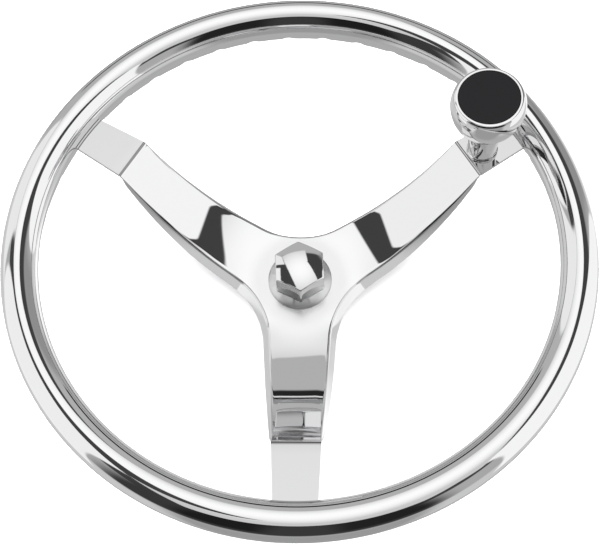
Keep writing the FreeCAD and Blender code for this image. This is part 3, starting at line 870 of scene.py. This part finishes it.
def lay_over(tree, below, shade, mask):
    """Put a shade, a number or a socket, over what is there, as far as the mask says."""
    mix = tree.nodes.new("ShaderNodeMix")
    tree.links.new(mask, mix.inputs[0])
    tree.links.new(below, mix.inputs[2])
    if isinstance(shade, float):
        mix.inputs[3].default_value = shade
    else:
        tree.links.new(shade, mix.inputs[3])
    return mix.outputs[0]


def make_world():
    """The studio that the steel mirrors: ground, walls and ceiling, then its panels and its light."""
    world = bpy.data.worlds.new("studio")
    SCENE.world = world
    world.use_nodes = True
    tree = world.node_tree
    tree.nodes.clear()
    output = tree.nodes.new("ShaderNodeOutputWorld")
    background = tree.nodes.new("ShaderNodeBackground")
    tree.links.new(background.outputs[0], output.inputs["Surface"])
    direction = tree.nodes.new("ShaderNodeTexCoord").outputs["Generated"]
    height = distance_along(tree, direction, Vector((0, 0, 1)))
    colour = fade(tree, height, *GROUND_TO_WALL, tone(GROUND_SHADE), tone(WALL_SHADE))
    below = fade(tree, height, *BELOW_TO_GROUND, 1.0, 0.0)
    colour = lay_over(tree, colour, tone(SHADE_BELOW), below)
    ceiling = fade(tree, height, *WALL_TO_CEILING, 0.0, 1.0)
    colour = lay_over(tree, colour, tone(CEILING_SHADE), ceiling)
    for _, corners, softness, shade in PANELS:
        mask = panel_mask(tree, direction, corners, softness)
        colour = lay_over(tree, colour, tone(shade), mask)
    from_middle = distance_along(tree, direction, towards(*GLOW_MIDDLE))
    rim_of_light, middle_of_light = (math.cos(math.radians(angle)) for angle in GLOW_ANGLES)
    dim, bright = (tone(shade) for shade in GLOW_SHADES)
    glow = fade(tree, from_middle, rim_of_light, middle_of_light, dim, bright, "LINEAR")
    for corners in CEILING_LIGHT:
        mask = panel_mask(tree, direction, corners, CEILING_LIGHT_SOFTNESS)
        colour = lay_over(tree, colour, glow, mask)
    tree.links.new(colour, background.inputs["Color"])
    background.inputs["Strength"].default_value = 1.0


def stage_piece(name, bm, material):
    """Put a mesh into the scene that isn't part of the object, and that the steel doesn't mirror."""
    mesh = bpy.data.meshes.new(name)
    bm.to_mesh(mesh)
    bm.free()
    mesh.materials.append(material)
    piece = bpy.data.objects.new(name, mesh)
    SCENE.collection.objects.link(piece)
    piece.visible_glossy = False
    return piece


def make_floor():
    material, tree, shader = new_material("pale_paper")
    shader.inputs["Base Color"].default_value = (0.93, 0.93, 0.93, 1.0)
    tree.links.new(ranged(tree, object_noise(tree, 60.0), 0.85, 0.95), shader.inputs["Roughness"])
    bm = bmesh.new()
    bmesh.ops.create_grid(bm, x_segments=8, y_segments=8, size=FLOOR_HALF_WIDTH)
    bmesh.ops.translate(bm, verts=bm.verts, vec=(0, 0, cad_low.z))
    stage_piece("floor", bm, material)


def make_surround():
    """A pale surround behind the floor, which low views see and which lights nothing."""
    material, tree, shader = new_material("pale_surround")
    shader.inputs["Base Color"].default_value = (0.9, 0.9, 0.9, 1.0)
    shader.inputs["Emission Color"].default_value = (1.0, 1.0, 1.0, 1.0)
    glow = ranged(tree, object_noise(tree, 0.3), 0.90, 0.96)
    tree.links.new(glow, shader.inputs["Emission Strength"])
    bm = bmesh.new()
    bmesh.ops.create_uvsphere(bm, u_segments=64, v_segments=32, radius=SURROUND_RADIUS)
    surround = stage_piece("surround", bm, material)
    surround.data.shade_smooth()
    surround.visible_diffuse = False
    surround.visible_transmission = False
    surround.visible_shadow = False


def make_lamp():
    """A wide overhead light for the floor and the plastic, which the steel doesn't mirror."""
    light = bpy.data.lights.new("overhead", "AREA")
    light.shape = "RECTANGLE"
    light.size = LAMP_WIDTH
    light.size_y = LAMP_WIDTH
    light.energy = LAMP_POWER
    lamp = bpy.data.objects.new("overhead", light)
    lamp.location = LAMP_PLACE
    lamp.visible_glossy = False
    SCENE.collection.objects.link(lamp)


def make_camera():
    data = bpy.data.cameras.new("camera")
    data.sensor_width = 36.0
    data.lens = CAMERA_LENS
    data.clip_start = 0.01
    data.clip_end = 20.0
    camera = bpy.data.objects.new("camera", data)
    turn = Matrix((CAMERA_RIGHT, CAMERA_ABOVE, CAMERA_BEHIND)).transposed().to_4x4()
    camera.matrix_world = Matrix.Translation(CAMERA_PLACE) @ turn
    SCENE.collection.objects.link(camera)
    SCENE.camera = camera


def finish_nodes(finishes):
    """Give each node that is still shown the finish of its slot."""
    slots = {part["node"]: part["material_slot"] for part in frame["record"]["subparts"]}
    for name, node in frame["nodes"].items():
        node.data.materials.clear()
        node.data.materials.append(finishes[slots[name]])


def main():
    SCENE.view_settings.view_transform = "Standard"
    finishes = make_finishes()
    make_camera()
    make_world()
    make_floor()
    make_surround()
    make_lamp()
    make_rim(finishes["rim_steel"])
    make_spokes(finishes["spoke_steel"])
    make_boss(finishes["boss_steel"])
    make_nut(finishes["nut_steel"])
    make_knob(finishes["knob_steel"], finishes["black_insert"])
    finish_nodes(finishes)


main()
